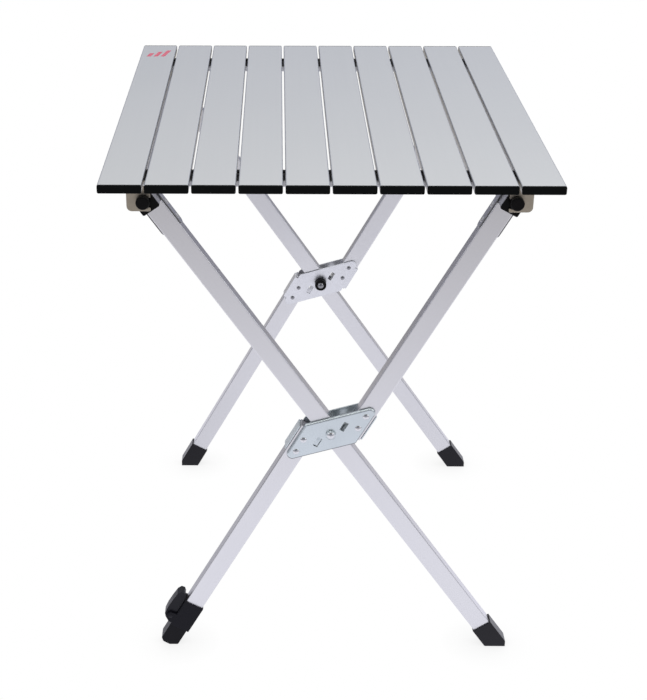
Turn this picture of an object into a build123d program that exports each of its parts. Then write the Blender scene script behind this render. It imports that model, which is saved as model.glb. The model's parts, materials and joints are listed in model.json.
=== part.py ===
from build123d import *
import os
from math import asin, atan2, cos, degrees, hypot, radians, sin, sqrt, tan

# Folding side table: a top of ten slats on two rails, hooked over a crossed-leg frame.
# Millimetres. X runs across the table, +Y away from its front, +Z up, Z = 0 is the floor.

FIT = 0.05                      # gap between two pieces that are pressed or riveted together

# Slatted top
TOP_WIDTH = 530.0
TOP_DEPTH = 620.0
TOP_HEIGHT = 700.0
SLAT_COUNT = 10
SLAT_GAP = 2.9
SLAT_THICKNESS = 10.0
SLAT_WALL = 1.2
SLAT_EDGE_RADIUS = 1.6
SLAT_WIDTH = (TOP_WIDTH - (SLAT_COUNT - 1) * SLAT_GAP) / SLAT_COUNT
SLAT_PITCH = SLAT_WIDTH + SLAT_GAP
CAP_FLANGE = 2.5                # visible thickness of a slat's end cap
CAP_RADIUS = 2.0
CAP_EDGE_ROUND = 0.7
CAP_PLUG_LENGTH = 12.0

# Rails under the slats
RAIL_WIDTH = 36.0
RAIL_HEIGHT = 7.7
RAIL_WALL = 1.2
RAIL_RADIUS = 1.5
RAIL_DROP = 0.3                 # air between the slats and a rail
RAIL_HALF_LENGTH = 236.5
RAIL_FRONT_Y = -265.0           # front face of the front rail

# Legs: rectangular tube, its wide face to the front
LEG_WIDTH = 24.6
LEG_THICKNESS = 16.5
LEG_WALL = 1.3
LEG_RADIUS = 1.4
LEG_FRONT_Y = -245.0
LEG_BACK_Y = LEG_FRONT_Y + LEG_THICKNESS

# Crossing of the legs and the hook pins at their top
PIVOT_X = 8.7
PIVOT_Z = 341.0
PIN_X = 217.5
PIN_Z = 665.0
B_OFFSET = 26.2                 # each half of leg B stands this far beside the pivot
PIN_RISE = PIN_Z - PIVOT_Z
PIN_REACH_A = PIN_X + PIVOT_X
PIN_REACH_B = PIN_X - PIVOT_X
ANGLE_A = degrees(atan2(PIN_REACH_A, PIN_RISE))
PIN_ALONG_A = hypot(PIN_REACH_A, PIN_RISE)
PIN_RADIUS_B = hypot(PIN_REACH_B, PIN_RISE)
ANGLE_B = degrees(atan2(PIN_REACH_B, PIN_RISE) - asin(B_OFFSET / PIN_RADIUS_B))
PIN_ALONG_B = sqrt(PIN_RADIUS_B**2 - B_OFFSET**2)

# Hook pins and their knob heads
PIN_RADIUS = 4.0
PIN_PLUG_LENGTH = 12.0
KNOB_RADIUS = 8.2
KNOB_INNER_Y = -267.6
KNOB_OUTER_Y = -276.0
KNOB_ROUND = 1.8

# Crossbars: square tube from front to back at the top of the legs
CROSSBAR_SIZE = 24.0
CROSSBAR_WALL = 1.5
CROSSBAR_RADIUS = 2.0
CROSSBAR_END_Y = -261.5
CROSSBAR_DROP = 4.5             # centre of the crossbar below the hook pin, along the leg
CROSSBAR_PLUG_FLANGE = 3.0
CROSSBAR_PLUG_LENGTH = 14.0
LEG_TOP_GAP = 0.3

# Hook plates on the rails
PLATE_THICKNESS = 2.0
PLATE_OUTER_X = 237.0
PLATE_INNER_X = 209.0
PLATE_TOP_Z = 689.4
PLATE_BOTTOM_Z = 652.4
PLATE_OUTER_RADIUS = 6.0
SLOT_CLEARANCE = 0.35           # above and behind the pin
SLOT_BOTTOM_Z = 656.0
SLOT_CORNER_RADIUS = 4.0
LIP_HEIGHT = 1.0                # the arm's tip stands up this far
LIP_LENGTH = 3.0
LIP_RADIUS = 0.9
ARM_TIP_RADIUS = 1.8
PLATE_RIVET_INSET = 6.0
PLATE_RIVET_Z = 685.8
PLATE_RIVET_RADIUS = 1.6
PLATE_RIVET_HEAD = 2.8
PLATE_RIVET_RISE = 1.0
PLATE_RIVET_TAIL = 3.0

# Saddle straps that hold a leg to its crossbar
SADDLE_THICKNESS = 1.5
SADDLE_INSET = 1.8              # the strap is this much narrower than the leg on each edge
SADDLE_BELOW_CROSSBAR = 39.5
SADDLE_END_RADIUS = 6.0
SADDLE_RIVETS_FROM_END = (11.0, 33.0)
LEG_RIVET_RADIUS = 2.2
LEG_RIVET_HEAD = 4.0
LEG_RIVET_RISE = 1.4

# Domed studs on the outer side of the front legs
STUD_Z = 547.0
STUD_RADIUS = 2.0
STUD_HEAD = 4.4
STUD_RISE = 2.2

# Brackets at the crossing
BRACKET_HALF_WIDTH = 35.2
BRACKET_NEAR_CORNER = 3.6       # obtuse corner, along leg B from the pivot
BRACKET_FAR_CORNER = 67.5       # acute corner, along leg B from the pivot
BRACKET_ACUTE_RADIUS = 7.0
BRACKET_OBTUSE_RADIUS = 4.0
BRACKET_GAP = 0.3               # between a bracket and the face of the legs
OUTER_THICKNESS = 3.6
OUTER_EDGE_ROUND = 2.6
INNER_THICKNESS = 1.8
FLANGE_THICKNESS = 1.5
FLANGE_START = 10.8
FLANGE_END = 48.5
TAB_START = 11.4
TAB_END = 25.0
TAB_INNER = 12.2
TAB_THICKNESS = 1.5
TAB_DEPTH = 7.3
WINDOW_WIDTH = 6.2
BOSS_RADIUS = 6.3
BOSS_RISE = 3.2
BOSS_ROUND = 0.9
B_TUBE_START = 8.4              # where the halves of leg B end, from the pivot
TUBE_PLUG_LENGTH = 9.0
TUBE_PLUG_RECESS = 0.3
BRACKET_RIVETS_ALONG = (24.5, 44.1)
BRACKET_RIVET_RADIUS = 2.5
BRACKET_RIVET_HEAD = 4.2
BRACKET_RIVET_RISE = 1.6
BRACKET_RIVET_TAIL = 3.2
BRACKET_RIVET_TAIL_RISE = 1.1

# Pivot
PIVOT_RADIUS = 4.0
PIVOT_CLEARANCE = 0.08
PIVOT_HEAD = 4.8
PIVOT_HEAD_RISE = 2.0
BUMPER_RADIUS = 9.0
BUMPER_LENGTH = 11.0
BUMPER_GAP = 0.2
BUMPER_ROUND = 1.2
BUMPER_GROOVE_DEPTH = 0.8
BUMPER_GROOVE_WIDTH = 1.4
BUMPER_BASE = 4.0               # thickness of the disc beyond the groove

# Foot caps
CAP_WALL = 1.8
FOOT_CAP_HEIGHT = 40.0          # along the leg, from the floor
FOOT_CAP_SOLE = 16.0            # solid plastic under the tube
FOOT_TOE = 11.5                 # the sharp corner is cut off upright here
FOOT_OVERRUN = 30.0

# Adjustable foot on the front left leg
SOCKET_BOTTOM = 32.4
SOCKET_TOP = 76.0
SOCKET_OUTER = 14.6
SOCKET_INNER = 13.8
SOCKET_WALL_Y = 2.4
SOCKET_RADIUS = 1.5
SOCKET_TUBE_STOP = 48.0
SHANK_WIDTH = 21.4
SHANK_THICKNESS = 13.3
SHANK_CLEARANCE = 0.15
SHANK_TOP = 73.0
FOOT_SHOULDER_GAP = 0.3
FOOT_OUTER = 14.2
FOOT_INNER = 11.0
FOOT_FLAT = 0.8
FOOT_HEEL_N = 9.4
FOOT_HEEL_S = 0.8
FOOT_SIDE_S = 5.6
FOOT_HALF_DEPTH = 9.1
FOOT_ROUND = 2.5

# Lock lever of the adjustable foot
LEVER_N = -20.8                 # lever pin, across the leg from its centre line
LEVER_S = 45.0                  # lever pin, along the leg from the floor
LEVER_PIN_RADIUS = 2.0
LEVER_PIN_CLEARANCE = 0.08
LEVER_PIN_HEAD = 3.2
LEVER_PIN_RISE = 0.9
LUG_THICKNESS = 3.0
LUG_OUTLINE = ((-12.0, 36.0), (-19.0, 36.0), (-25.6, 41.0), (-26.2, 47.0), (-23.5, 51.0), (-12.0, 52.0))
LUG_ROUND = 1.2
LEVER_SIDE_GAP = 0.3
LEVER_BARREL = 4.6
LEVER_OUTLINE = ((-15.2, 47.0), (-15.2, 76.0), (-17.2, 83.0), (-20.6, 86.5), (-25.6, 86.0),
                 (-28.4, 80.5), (-29.4, 68.0), (-29.8, 54.0), (-28.8, 43.6), (-25.2, 38.8),
                 (-22.0, 39.6))
LEVER_ROUND = 1.6

LEG_A = Pos(PIVOT_X, 0, PIVOT_Z) * Rot(0, -ANGLE_A, 0)
LEG_B = Pos(PIVOT_X, 0, PIVOT_Z) * Rot(0, ANGLE_B, 0)
FLOOR_ALONG_A = -PIVOT_Z / cos(radians(ANGLE_A))
FLOOR_ALONG_B = -(PIVOT_Z + B_OFFSET * sin(radians(ANGLE_B))) / cos(radians(ANGLE_B))


def prism(sketch, near_y, far_y):
    """A flat outline in X and Z, given depth from near_y to far_y."""
    return extrude(Plane.XZ.offset(-far_y) * sketch, amount=far_y - near_y)


def rect(x0, z0, x1, z1):
    """A rectangle in X and Z between two corners."""
    return Pos((x0 + x1) / 2, (z0 + z1) / 2) * Rectangle(abs(x1 - x0), abs(z1 - z0))


def rod_y(x, z, radius, near_y, far_y):
    """A round bar along Y."""
    return prism(Pos(x, z) * Circle(radius), near_y, far_y)


def rod_x(y, z, radius, x0, x1):
    """A round bar along X."""
    return Pos((x0 + x1) / 2, y, z) * Rot(0, 90, 0) * Cylinder(radius, x1 - x0)


def dome(radius, rise):
    """A shallow rivet head standing on the XY plane."""
    sphere_radius = (radius**2 + rise**2) / (2 * rise)
    ball = Pos(0, 0, rise - sphere_radius) * Sphere(sphere_radius)
    slab = Pos(0, 0, rise / 2) * Box(2 * radius + rise, 2 * radius + rise, rise)
    return ball & slab


def tube(width, height, radius, wall):
    """Outline of a rectangular tube with rounded corners."""
    outer = RectangleRounded(width, height, radius)
    inner = RectangleRounded(width - 2 * wall, height - 2 * wall, max(radius - wall, FIT * 2))
    return outer - inner


def to_back(shape):
    """The matching piece at the back of the table."""
    return mirror(shape, about=Plane.XZ)


def group(shapes):
    """Separate solids kept together as one named piece."""
    solids = []
    for shape in shapes:
        solids += shape.solids()
    return Compound(children=solids)


def save(shape, name):
    export_step(shape, f"parts/{name}.step")


def slat_x(index):
    return -TOP_WIDTH / 2 + SLAT_WIDTH / 2 + index * SLAT_PITCH


def slat(index):
    """Hollow extruded slat running from front to back."""
    half = TOP_DEPTH / 2 - CAP_FLANGE - FIT
    outline = tube(SLAT_WIDTH, SLAT_THICKNESS, SLAT_EDGE_RADIUS, SLAT_WALL)
    return prism(Pos(slat_x(index), TOP_HEIGHT - SLAT_THICKNESS / 2) * outline, -half, half)


def slat_caps(index):
    """The moulded end caps of one slat, front and back."""
    front_y = -TOP_DEPTH / 2
    place = Pos(slat_x(index), TOP_HEIGHT - SLAT_THICKNESS / 2)
    face = RectangleRounded(SLAT_WIDTH, SLAT_THICKNESS, CAP_RADIUS)
    flange = prism(place * face, front_y, front_y + CAP_FLANGE)
    flange = fillet(flange.edges().group_by(Axis.Y)[0], CAP_EDGE_ROUND)
    clear = 2 * (SLAT_WALL + FIT)
    plug = prism(place * Rectangle(SLAT_WIDTH - clear, SLAT_THICKNESS - clear),
                 front_y + CAP_FLANGE, front_y + CAP_FLANGE + CAP_PLUG_LENGTH)
    plug = fillet(plug.edges().filter_by(Axis.Y), SLAT_EDGE_RADIUS - SLAT_WALL)
    cap = flange + plug
    return group([cap, to_back(cap)])


def plate_rivet_places():
    """X positions of the rivets that hold the hook plates."""
    near = PLATE_INNER_X + PLATE_RIVET_INSET
    far = PLATE_OUTER_X - PLATE_RIVET_INSET
    return [-far, -near, near, far]


def rail():
    """Front rail: a flat tube under all the slats."""
    top = TOP_HEIGHT - SLAT_THICKNESS - RAIL_DROP
    outline = tube(RAIL_WIDTH, RAIL_HEIGHT, RAIL_RADIUS, RAIL_WALL)
    bar = extrude(Plane.YZ.offset(-RAIL_HALF_LENGTH) * outline, amount=2 * RAIL_HALF_LENGTH)
    bar = Pos(0, RAIL_FRONT_Y + RAIL_WIDTH / 2, top - RAIL_HEIGHT / 2) * bar
    for x in plate_rivet_places():
        bar -= rod_y(x, PLATE_RIVET_Z, PLATE_RIVET_RADIUS + FIT, RAIL_FRONT_Y - RAIL_WALL,
                     RAIL_FRONT_Y + 2 * RAIL_WALL)
    return bar


def hook_outline():
    """Right-hand hook plate: its slot opens towards the middle of the table."""
    plate = rect(PLATE_INNER_X, PLATE_BOTTOM_Z, PLATE_OUTER_X, PLATE_TOP_Z)
    outer_low = plate.vertices().group_by(Axis.X)[-1].sort_by(Axis.Y)[0]
    plate = fillet(outer_low, PLATE_OUTER_RADIUS)
    slot_top = PIN_Z + PIN_RADIUS + SLOT_CLEARANCE
    slot_end = PIN_X + PIN_RADIUS + SLOT_CLEARANCE
    slot = rect(PLATE_INNER_X - PLATE_THICKNESS, SLOT_BOTTOM_Z, slot_end, slot_top)
    ends = slot.vertices().group_by(Axis.X)[-1]
    slot = fillet(ends, SLOT_CORNER_RADIUS)
    lip = rect(PLATE_INNER_X, PLATE_BOTTOM_Z, PLATE_INNER_X + LIP_LENGTH,
               SLOT_BOTTOM_Z + LIP_HEIGHT)
    lip = fillet(lip.vertices().group_by(Axis.Y)[-1], LIP_RADIUS)
    plate = plate - slot + lip
    tip_low = plate.vertices().group_by(Axis.X)[0].sort_by(Axis.Y)[0]
    return fillet(tip_low, ARM_TIP_RADIUS)


def hook_plate():
    """Front right hook plate, riveted to the front face of the rail."""
    plate = prism(hook_outline(), RAIL_FRONT_Y - PLATE_THICKNESS, RAIL_FRONT_Y - FIT)
    for x in plate_rivet_places():
        plate -= rod_y(x, PLATE_RIVET_Z, PLATE_RIVET_RADIUS + FIT,
                       RAIL_FRONT_Y - 2 * PLATE_THICKNESS, RAIL_FRONT_Y)
    return plate


def hook_plate_rivets():
    rivets = []
    for x in plate_rivet_places():
        face = RAIL_FRONT_Y - PLATE_THICKNESS - FIT
        head = Pos(x, face, PLATE_RIVET_Z) * Rot(90, 0, 0) * dome(PLATE_RIVET_HEAD, PLATE_RIVET_RISE)
        shank = rod_y(x, PLATE_RIVET_Z, PLATE_RIVET_RADIUS, face, face + PLATE_RIVET_TAIL + RAIL_WALL)
        rivet = head + shank
        rivets += [rivet, to_back(rivet)]
    return group(rivets)


def crossbar(across, along):
    """Square tube, placed in its leg's own frame by its centre."""
    outline = tube(CROSSBAR_SIZE, CROSSBAR_SIZE, CROSSBAR_RADIUS, CROSSBAR_WALL)
    return prism(Pos(across, along) * outline, CROSSBAR_END_Y, -CROSSBAR_END_Y)


def crossbar_plugs(across, along):
    """Square plugs in both ends of a crossbar, bored for the hook pins."""
    place = Pos(across, along)
    face_y = CROSSBAR_END_Y - CROSSBAR_PLUG_FLANGE
    flange = prism(place * RectangleRounded(CROSSBAR_SIZE, CROSSBAR_SIZE, CROSSBAR_RADIUS),
                   face_y, CROSSBAR_END_Y - FIT)
    flange = fillet(flange.edges().group_by(Axis.Y)[0], CAP_EDGE_ROUND)
    size = CROSSBAR_SIZE - 2 * (CROSSBAR_WALL + FIT)
    body = prism(place * RectangleRounded(size, size, CROSSBAR_RADIUS - CROSSBAR_WALL),
                 CROSSBAR_END_Y - FIT, CROSSBAR_END_Y + CROSSBAR_PLUG_LENGTH)
    plug = flange + body
    plug -= rod_y(across, along + CROSSBAR_DROP, PIN_RADIUS + FIT, face_y - 1,
                  CROSSBAR_END_Y + PIN_PLUG_LENGTH)
    return group([plug, to_back(plug)])


def hook_pins(x):
    """Round pins with knob heads that the hook plates catch."""
    head = rod_y(x, PIN_Z, KNOB_RADIUS, KNOB_OUTER_Y, KNOB_INNER_Y)
    head = fillet(head.edges().group_by(Axis.Y)[0], KNOB_ROUND)
    shank = rod_y(x, PIN_Z, PIN_RADIUS, KNOB_INNER_Y, CROSSBAR_END_Y + PIN_PLUG_LENGTH - FIT)
    pin = head + shank
    return group([pin, to_back(pin)])


def leg_tube(across, low, high):
    """Plain leg tube in its own frame, from low to high along its length."""
    outline = Pos(across, (LEG_FRONT_Y + LEG_BACK_Y) / 2) * tube(LEG_WIDTH, LEG_THICKNESS,
                                                               LEG_RADIUS, LEG_WALL)
    return extrude(Plane.XY.offset(low) * outline, amount=high - low)


def saddle_rivet_heights(pin_along):
    """Heights of a saddle's rivets along its leg."""
    end = saddle_end(pin_along)
    return [end + rise for rise in SADDLE_RIVETS_FROM_END]


def saddle_end(pin_along):
    return pin_along - CROSSBAR_DROP - CROSSBAR_SIZE / 2 - SADDLE_BELOW_CROSSBAR


def leg_top(pin_along):
    return pin_along - CROSSBAR_DROP - CROSSBAR_SIZE / 2 - LEG_TOP_GAP


def drill_saddle_rivets(shape, across, pin_along):
    reach = LEG_WIDTH
    mid_y = (LEG_FRONT_Y + LEG_BACK_Y) / 2
    for along in saddle_rivet_heights(pin_along):
        shape -= rod_x(mid_y, along, LEG_RIVET_RADIUS + FIT, across - reach, across + reach)
    return shape


def saddle(across, pin_along):
    """Steel strap over a crossbar and down both narrow sides of the leg."""
    inner = LEG_WIDTH / 2 + FIT
    outer = inner + SADDLE_THICKNESS
    crown = pin_along - CROSSBAR_DROP + CROSSBAR_SIZE / 2 + FIT
    end = saddle_end(pin_along)
    outline = rect(-outer, end, outer, crown + SADDLE_THICKNESS)
    outline = fillet(outline.vertices().group_by(Axis.Y)[-1], SADDLE_THICKNESS)
    outline -= rect(-inner, end - 1, inner, crown)
    strap = prism(Pos(across, 0) * outline, LEG_FRONT_Y + SADDLE_INSET, LEG_BACK_Y - SADDLE_INSET)
    corners = strap.edges().filter_by(Axis.X).group_by(Axis.Z)[0]
    strap = fillet(corners, SADDLE_END_RADIUS)
    return drill_saddle_rivets(strap, across, pin_along)


def leg_rivet(across, along):
    """Through rivet with a domed head outside each flange of a saddle."""
    mid_y = (LEG_FRONT_Y + LEG_BACK_Y) / 2
    face = LEG_WIDTH / 2 + SADDLE_THICKNESS + 2 * FIT
    head = dome(LEG_RIVET_HEAD, LEG_RIVET_RISE)
    right = Pos(across + face, mid_y, along) * Rot(0, 90, 0) * head
    left = Pos(across - face, mid_y, along) * Rot(0, -90, 0) * head
    return rod_x(mid_y, along, LEG_RIVET_RADIUS, across - face, across + face) + right + left


def leg_rivets(across, pin_along):
    rivets = []
    for along in saddle_rivet_heights(pin_along):
        rivet = leg_rivet(across, along)
        rivets += [rivet, to_back(rivet)]
    return rivets


def stud_along(across, angle):
    """Distance along a leg at which its side reaches the studs' height."""
    return (STUD_Z - PIVOT_Z + across * sin(radians(angle))) / cos(radians(angle))


def stud(face_n, along, side):
    """Domed stud on a narrow side of a leg; side is +1 or -1 across the leg."""
    mid_y = (LEG_FRONT_Y + LEG_BACK_Y) / 2
    head = Pos(face_n + side * FIT, mid_y, along) * Rot(0, side * 90, 0) * dome(STUD_HEAD, STUD_RISE)
    ends = sorted([face_n + side * FIT, face_n - side * 2 * LEG_WALL])
    return head + rod_x(mid_y, along, STUD_RADIUS, ends[0], ends[1])


def stud_hole(face_n, along):
    mid_y = (LEG_FRONT_Y + LEG_BACK_Y) / 2
    return rod_x(mid_y, along, STUD_RADIUS + FIT, face_n - 2 * LEG_WALL, face_n + 2 * LEG_WALL)


def leg_a():
    """Leg from the upper left to the lower right: one long tube."""
    leg = leg_tube(0, FLOOR_ALONG_A + FOOT_CAP_SOLE, leg_top(PIN_ALONG_A))
    leg -= rod_y(0, 0, PIVOT_RADIUS + PIVOT_CLEARANCE, LEG_FRONT_Y - 1, LEG_BACK_Y + 1)
    return drill_saddle_rivets(leg, 0, PIN_ALONG_A)


def drill_bracket_rivets(shape, side):
    """Rivet holes of one half of leg B; side is +1 for the upper half."""
    for along in BRACKET_RIVETS_ALONG:
        shape -= rod_y(side * B_OFFSET, side * along, BRACKET_RIVET_RADIUS + FIT,
                       LEG_FRONT_Y - 2 * OUTER_THICKNESS, LEG_BACK_Y + 2 * INNER_THICKNESS)
    return shape


def tube_plugs():
    """Plugs that close the inner ends of leg B's four tubes."""
    width = LEG_WIDTH - 2 * (LEG_WALL + FIT)
    depth = LEG_THICKNESS - 2 * (LEG_WALL + FIT)
    start = B_TUBE_START + TUBE_PLUG_RECESS
    outline = Pos(B_OFFSET, (LEG_FRONT_Y + LEG_BACK_Y) / 2) * Rectangle(width, depth)
    upper = extrude(Plane.XY.offset(start) * outline, amount=TUBE_PLUG_LENGTH)
    plugs = []
    for plug in (upper, upper.rotate(Axis.Y, 180)):
        plugs += [LEG_B * plug, LEG_B * to_back(plug)]
    return plugs


def leg_b_upper():
    leg = leg_tube(B_OFFSET, B_TUBE_START, leg_top(PIN_ALONG_B))
    leg = drill_bracket_rivets(leg, 1)
    return drill_saddle_rivets(leg, B_OFFSET, PIN_ALONG_B)


def leg_b_lower(end_above_floor):
    leg = leg_tube(-B_OFFSET, FLOOR_ALONG_B + end_above_floor, -B_TUBE_START)
    return drill_bracket_rivets(leg, -1)


def bracket_outline():
    """Parallelogram bracket with two sides along leg B; its acute corners are rounder."""
    w = BRACKET_HALF_WIDTH
    near = BRACKET_NEAR_CORNER
    far = BRACKET_FAR_CORNER
    outline = make_face(Polyline((-w, -near), (w, far), (w, near), (-w, -far), close=True))
    by_height = outline.vertices().sort_by(Axis.Y)
    acute = [by_height[0], by_height[-1]]
    outline = fillet(acute, BRACKET_ACUTE_RADIUS)
    obtuse = [v for v in outline.vertices() if abs(abs(v.Y) - near) < 1]
    return fillet(obtuse, BRACKET_OBTUSE_RADIUS)


def windows_and_tabs(plate, face_y, thickness, inwards):
    """Cuts two windows and adds the tabs bent in from them; inwards is +1 or -1 along Y."""
    for side in (1, -1):
        window = rect(side * (TAB_INNER - WINDOW_WIDTH), side * TAB_START, side * TAB_INNER,
                      side * TAB_END)
        plate -= prism(window, face_y - 2 * thickness, face_y + 2 * thickness)
        tab = rect(side * TAB_INNER, side * TAB_START, side * (TAB_INNER + TAB_THICKNESS),
                   side * TAB_END)
        ends = sorted([face_y - inwards * thickness / 2, face_y + inwards * TAB_DEPTH])
        plate += prism(tab, ends[0], ends[1])
        plate = drill_bracket_rivets(plate, side)
    return plate


def outer_bracket():
    """Stamped plate on the outside of a crossing, in the frame of leg B."""
    back_y = LEG_FRONT_Y - BRACKET_GAP
    front_y = back_y - OUTER_THICKNESS
    plate = prism(bracket_outline(), front_y, back_y)
    plate = fillet(plate.edges().group_by(Axis.Y)[0], OUTER_EDGE_ROUND)
    boss = rod_y(0, 0, BOSS_RADIUS, front_y - BOSS_RISE, back_y)
    boss = fillet(boss.edges().group_by(Axis.Y)[0], BOSS_ROUND)
    plate += boss
    plate = windows_and_tabs(plate, back_y, OUTER_THICKNESS, 1)
    return plate - rod_y(0, 0, PIVOT_RADIUS + PIVOT_CLEARANCE, front_y - 2 * BOSS_RISE, back_y + 1)


def inner_bracket():
    """Plate on the inside of a crossing, flanged round the outer sides of leg B's halves."""
    near_y = LEG_BACK_Y + BRACKET_GAP
    far_y = near_y + INNER_THICKNESS
    plate = prism(bracket_outline(), near_y, far_y)
    side_n = B_OFFSET + LEG_WIDTH / 2 + 2 * FIT
    for side in (1, -1):
        ear = rect(side * B_OFFSET, side * FLANGE_START, side * (side_n + FLANGE_THICKNESS),
                   side * FLANGE_END)
        lip = rect(side * side_n, side * FLANGE_START, side * (side_n + FLANGE_THICKNESS),
                   side * FLANGE_END)
        plate += prism(ear, near_y, far_y)
        plate += prism(lip, LEG_FRONT_Y, far_y)
    plate = windows_and_tabs(plate, near_y, INNER_THICKNESS, -1)
    return plate - rod_y(0, 0, PIVOT_RADIUS + PIVOT_CLEARANCE, near_y - 1, far_y + 1)


def through_rivet(n, s, radius, front_head, back_head, front_y, back_y):
    """Rivet along Y with a dome at each end; a head is its radius and rise."""
    shank = rod_y(n, s, radius, front_y, back_y)
    front = Pos(n, front_y, s) * Rot(90, 0, 0) * dome(*front_head)
    back = Pos(n, back_y, s) * Rot(-90, 0, 0) * dome(*back_head)
    return shank + front + back


def bracket_rivets():
    front_y = LEG_FRONT_Y - BRACKET_GAP - OUTER_THICKNESS - FIT
    back_y = LEG_BACK_Y + BRACKET_GAP + INNER_THICKNESS + FIT
    head = (BRACKET_RIVET_HEAD, BRACKET_RIVET_RISE)
    tail = (BRACKET_RIVET_TAIL, BRACKET_RIVET_TAIL_RISE)
    rivets = []
    for side in (1, -1):
        for along in BRACKET_RIVETS_ALONG:
            rivet = LEG_B * through_rivet(side * B_OFFSET, side * along, BRACKET_RIVET_RADIUS,
                                          head, tail, front_y, back_y)
            rivets += [rivet, to_back(rivet)]
    return group(rivets)


def bumper_span():
    """Front and back of the bumper on the inside of the front crossing."""
    start = LEG_BACK_Y + BRACKET_GAP + INNER_THICKNESS + BUMPER_GAP
    return start, start + BUMPER_LENGTH


def pivot_pins():
    front_y = LEG_FRONT_Y - BRACKET_GAP - OUTER_THICKNESS - BOSS_RISE - FIT
    back_y = bumper_span()[1] + FIT
    head = (PIVOT_HEAD, PIVOT_HEAD_RISE)
    pin = through_rivet(PIVOT_X, PIVOT_Z, PIVOT_RADIUS, head, head, front_y, back_y)
    return group([pin, to_back(pin)])


def pivot_bumpers():
    start, end = bumper_span()
    bumper = rod_y(PIVOT_X, PIVOT_Z, BUMPER_RADIUS, start, end)
    bumper = fillet(bumper.edges().group_by(Axis.Y)[-1], BUMPER_ROUND)
    groove = rod_y(PIVOT_X, PIVOT_Z, 2 * BUMPER_RADIUS, start + BUMPER_BASE,
                   start + BUMPER_BASE + BUMPER_GROOVE_WIDTH)
    bumper -= groove - rod_y(PIVOT_X, PIVOT_Z, BUMPER_RADIUS - BUMPER_GROOVE_DEPTH, start, end)
    bumper -= rod_y(PIVOT_X, PIVOT_Z, PIVOT_RADIUS + FIT, start - 1, end + 1)
    return group([bumper, to_back(bumper)])


def foot_cap(frame, across, floor_along, toe_side):
    """Moulded cap over a leg's end, cut level with the floor; toe_side is the sharp corner's."""
    mid_y = (LEG_FRONT_Y + LEG_BACK_Y) / 2
    width = LEG_WIDTH + 2 * CAP_WALL
    depth = LEG_THICKNESS + 2 * CAP_WALL
    outline = Pos(across, mid_y) * RectangleRounded(width, depth, LEG_RADIUS)
    low = floor_along - FOOT_OVERRUN
    sleeve = extrude(Plane.XY.offset(low) * outline, amount=FOOT_OVERRUN + FOOT_CAP_HEIGHT)
    clear = 2 * FIT
    bore = Pos(across, mid_y) * RectangleRounded(LEG_WIDTH + clear, LEG_THICKNESS + clear, LEG_RADIUS)
    sleeve -= extrude(Plane.XY.offset(floor_along + FOOT_CAP_SOLE - FIT) * bore, amount=FOOT_CAP_HEIGHT)
    foot_x = (frame * Pos(across, 0, floor_along)).position.X
    toe_x = foot_x + toe_side * FOOT_TOE
    far_x = foot_x - toe_side * 2 * TOP_WIDTH
    keep = prism(rect(toe_x, 0, far_x, TOP_HEIGHT), -TOP_DEPTH, TOP_DEPTH)
    return frame * sleeve & keep


def socket_span():
    return LEG_FRONT_Y - SOCKET_WALL_Y, LEG_BACK_Y + SOCKET_WALL_Y


def levelling_socket():
    """Clamp block over the front left leg's end, with lugs for the lock lever."""
    near_y, far_y = socket_span()
    block = prism(rect(-SOCKET_OUTER, SOCKET_BOTTOM, SOCKET_INNER, SOCKET_TOP), near_y, far_y)
    block = fillet(block.edges().filter_by(Axis.Z), SOCKET_RADIUS)
    lug = make_face(Polyline(*LUG_OUTLINE, close=True))
    lug = fillet([v for v in lug.vertices() if v.X < -SOCKET_OUTER], LUG_ROUND)
    block += prism(lug, near_y, near_y + LUG_THICKNESS)
    block += prism(lug, far_y - LUG_THICKNESS, far_y)
    block -= rod_y(LEVER_N, LEVER_S, LEVER_PIN_RADIUS + FIT, near_y - 1, far_y + 1)
    mid_y = (near_y + far_y) / 2
    bore = Pos(0, mid_y) * RectangleRounded(LEG_WIDTH + 2 * FIT, LEG_THICKNESS + 2 * FIT, LEG_RADIUS)
    block -= extrude(Plane.XY.offset(SOCKET_TUBE_STOP - FIT) * bore, amount=SOCKET_TOP)
    gap = 2 * SHANK_CLEARANCE
    throat = Pos(0, mid_y) * Rectangle(SHANK_WIDTH + gap, SHANK_THICKNESS + gap)
    return block - extrude(Plane.XY * throat, amount=SOCKET_TOP)


def level_line(n):
    """Height along the leg at which a point n across from its centre meets the floor."""
    return n * tan(radians(ANGLE_B))


def levelling_foot():
    """Sliding foot with a flat tread and a shank inside the leg tube."""
    top = SOCKET_BOTTOM - FOOT_SHOULDER_GAP
    outline = make_face(Polyline((-FOOT_OUTER, top), (FOOT_INNER, top),
                                 (FOOT_INNER, level_line(FOOT_INNER)),
                                 (FOOT_FLAT, level_line(FOOT_FLAT)),
                                 (-FOOT_HEEL_N, FOOT_HEEL_S), (-FOOT_OUTER, FOOT_SIDE_S), close=True))
    low = [v for v in outline.vertices() if v.Y < top - FOOT_ROUND]
    outline = fillet(low, FOOT_ROUND)
    mid_y = (LEG_FRONT_Y + LEG_BACK_Y) / 2
    foot = prism(outline, mid_y - FOOT_HALF_DEPTH, mid_y + FOOT_HALF_DEPTH)
    shank = Pos(0, mid_y) * Rectangle(SHANK_WIDTH, SHANK_THICKNESS)
    shank = extrude(Plane.XY.offset(top - FOOT_ROUND) * shank, amount=SHANK_TOP - top + FOOT_ROUND)
    return foot + fillet(shank.edges().filter_by(Axis.Z), LEG_RADIUS - LEG_WALL)


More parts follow.
